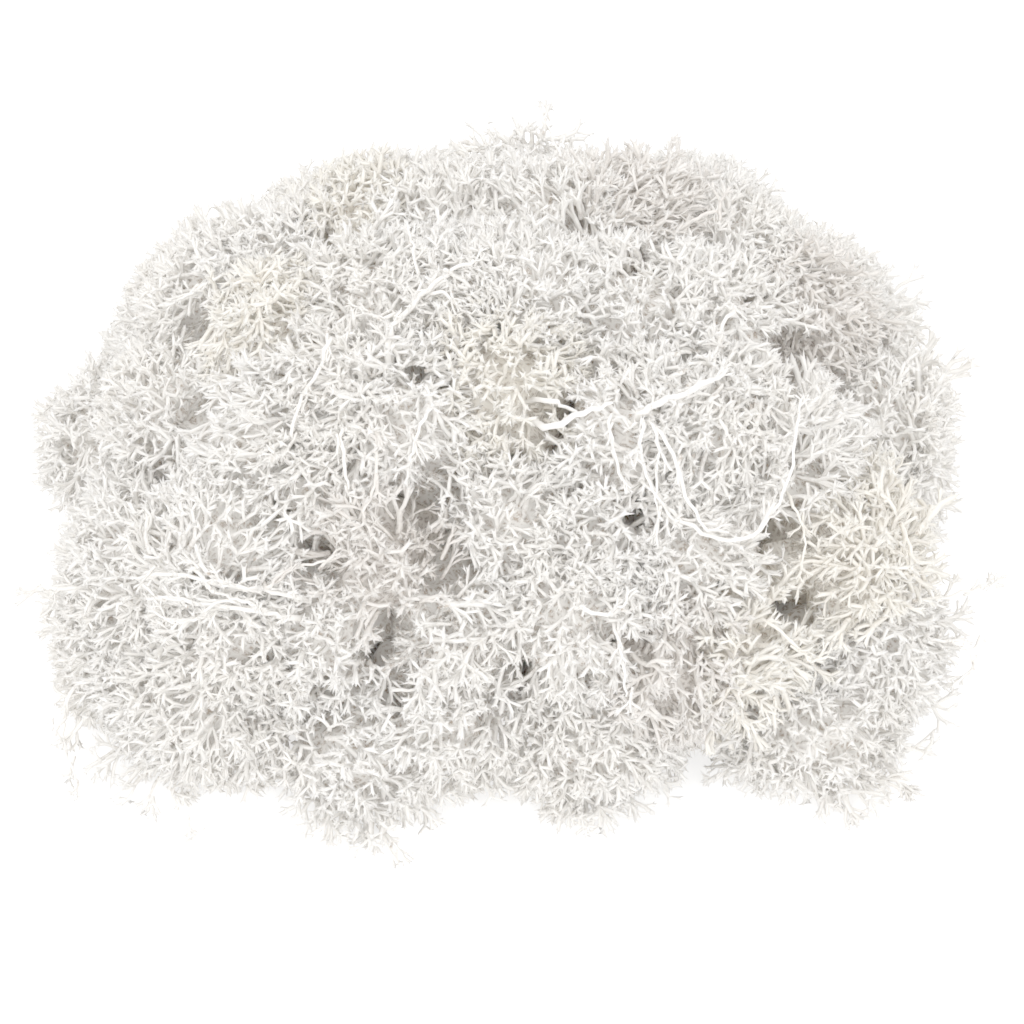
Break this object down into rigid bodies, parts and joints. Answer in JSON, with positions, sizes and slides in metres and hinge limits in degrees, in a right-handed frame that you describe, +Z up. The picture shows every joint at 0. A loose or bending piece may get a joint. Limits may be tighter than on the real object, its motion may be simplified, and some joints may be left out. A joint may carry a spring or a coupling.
{
  "type": "reindeer moss clump",
  "caption": "Rounded heap of dried pale reindeer moss: tufts of fine, forked branchlets packed side by side, resting flat on a surface",
  "frame": {"origin": "centre of the heap's box, on the surface that it rests on", "axes": "+X across the heap's width, +Y away from the pictured side, +Z up"},
  "size_m": [0.2512, 0.2076, 0.1123],
  "materials": {
    "white_lichen": "dry, matte, brittle white lichen branchlets",
    "cream_lichen": "dry, matte, slightly yellowed lichen branchlets",
    "grey_lichen": "dry, matte, greyer and browner lichen branchlets"
  },
  "bodies": {
    "root": {"tuft_back_high_1": "white_lichen", "tuft_back_high_2": "white_lichen", "tuft_back_high_3": "white_lichen", "tuft_back_high_4": "white_lichen", "tuft_back_high_5": "white_lichen", "tuft_back_low_1": "white_lichen", "tuft_back_low_2": "white_lichen", "tuft_back_low_3": "white_lichen", "tuft_back_low_4": "white_lichen", "tuft_back_low_5": "white_lichen", "tuft_back_low_6": "white_lichen", "tuft_base_1": "white_lichen", "tuft_base_2": "white_lichen", "tuft_base_3": "white_lichen", "tuft_base_4": "white_lichen", "tuft_base_5": "white_lichen", "tuft_base_6": "grey_lichen", "tuft_base_7": "cream_lichen", "tuft_base_8": "white_lichen", "tuft_foot_1": "white_lichen", "tuft_foot_2": "white_lichen", "tuft_foot_3": "white_lichen", "tuft_foot_4": "white_lichen", "tuft_foot_5": "white_lichen", "tuft_lower_1": "white_lichen", "tuft_lower_2": "white_lichen", "tuft_lower_3": "white_lichen", "tuft_lower_4": "grey_lichen", "tuft_lower_5": "white_lichen", "tuft_lower_6": "white_lichen", "tuft_lower_7": "white_lichen", "tuft_lower_8": "cream_lichen", "tuft_middle_1": "white_lichen", "tuft_middle_10": "white_lichen", "tuft_middle_2": "white_lichen", "tuft_middle_3": "white_lichen", "tuft_middle_4": "white_lichen", "tuft_middle_5": "white_lichen", "tuft_middle_6": "cream_lichen", "tuft_middle_7": "white_lichen", "tuft_middle_8": "white_lichen", "tuft_middle_9": "white_lichen", "tuft_top_1": "white_lichen", "tuft_top_2": "cream_lichen", "tuft_top_3": "white_lichen", "tuft_top_4": "white_lichen", "tuft_top_5": "grey_lichen", "tuft_top_6": "white_lichen", "tuft_upper_1": "white_lichen", "tuft_upper_2": "cream_lichen", "tuft_upper_3": "white_lichen", "tuft_upper_4": "white_lichen", "tuft_upper_5": "white_lichen", "tuft_upper_6": "white_lichen", "tuft_upper_7": "white_lichen", "tuft_upper_8": "grey_lichen"}
  },
  "joints": []
}
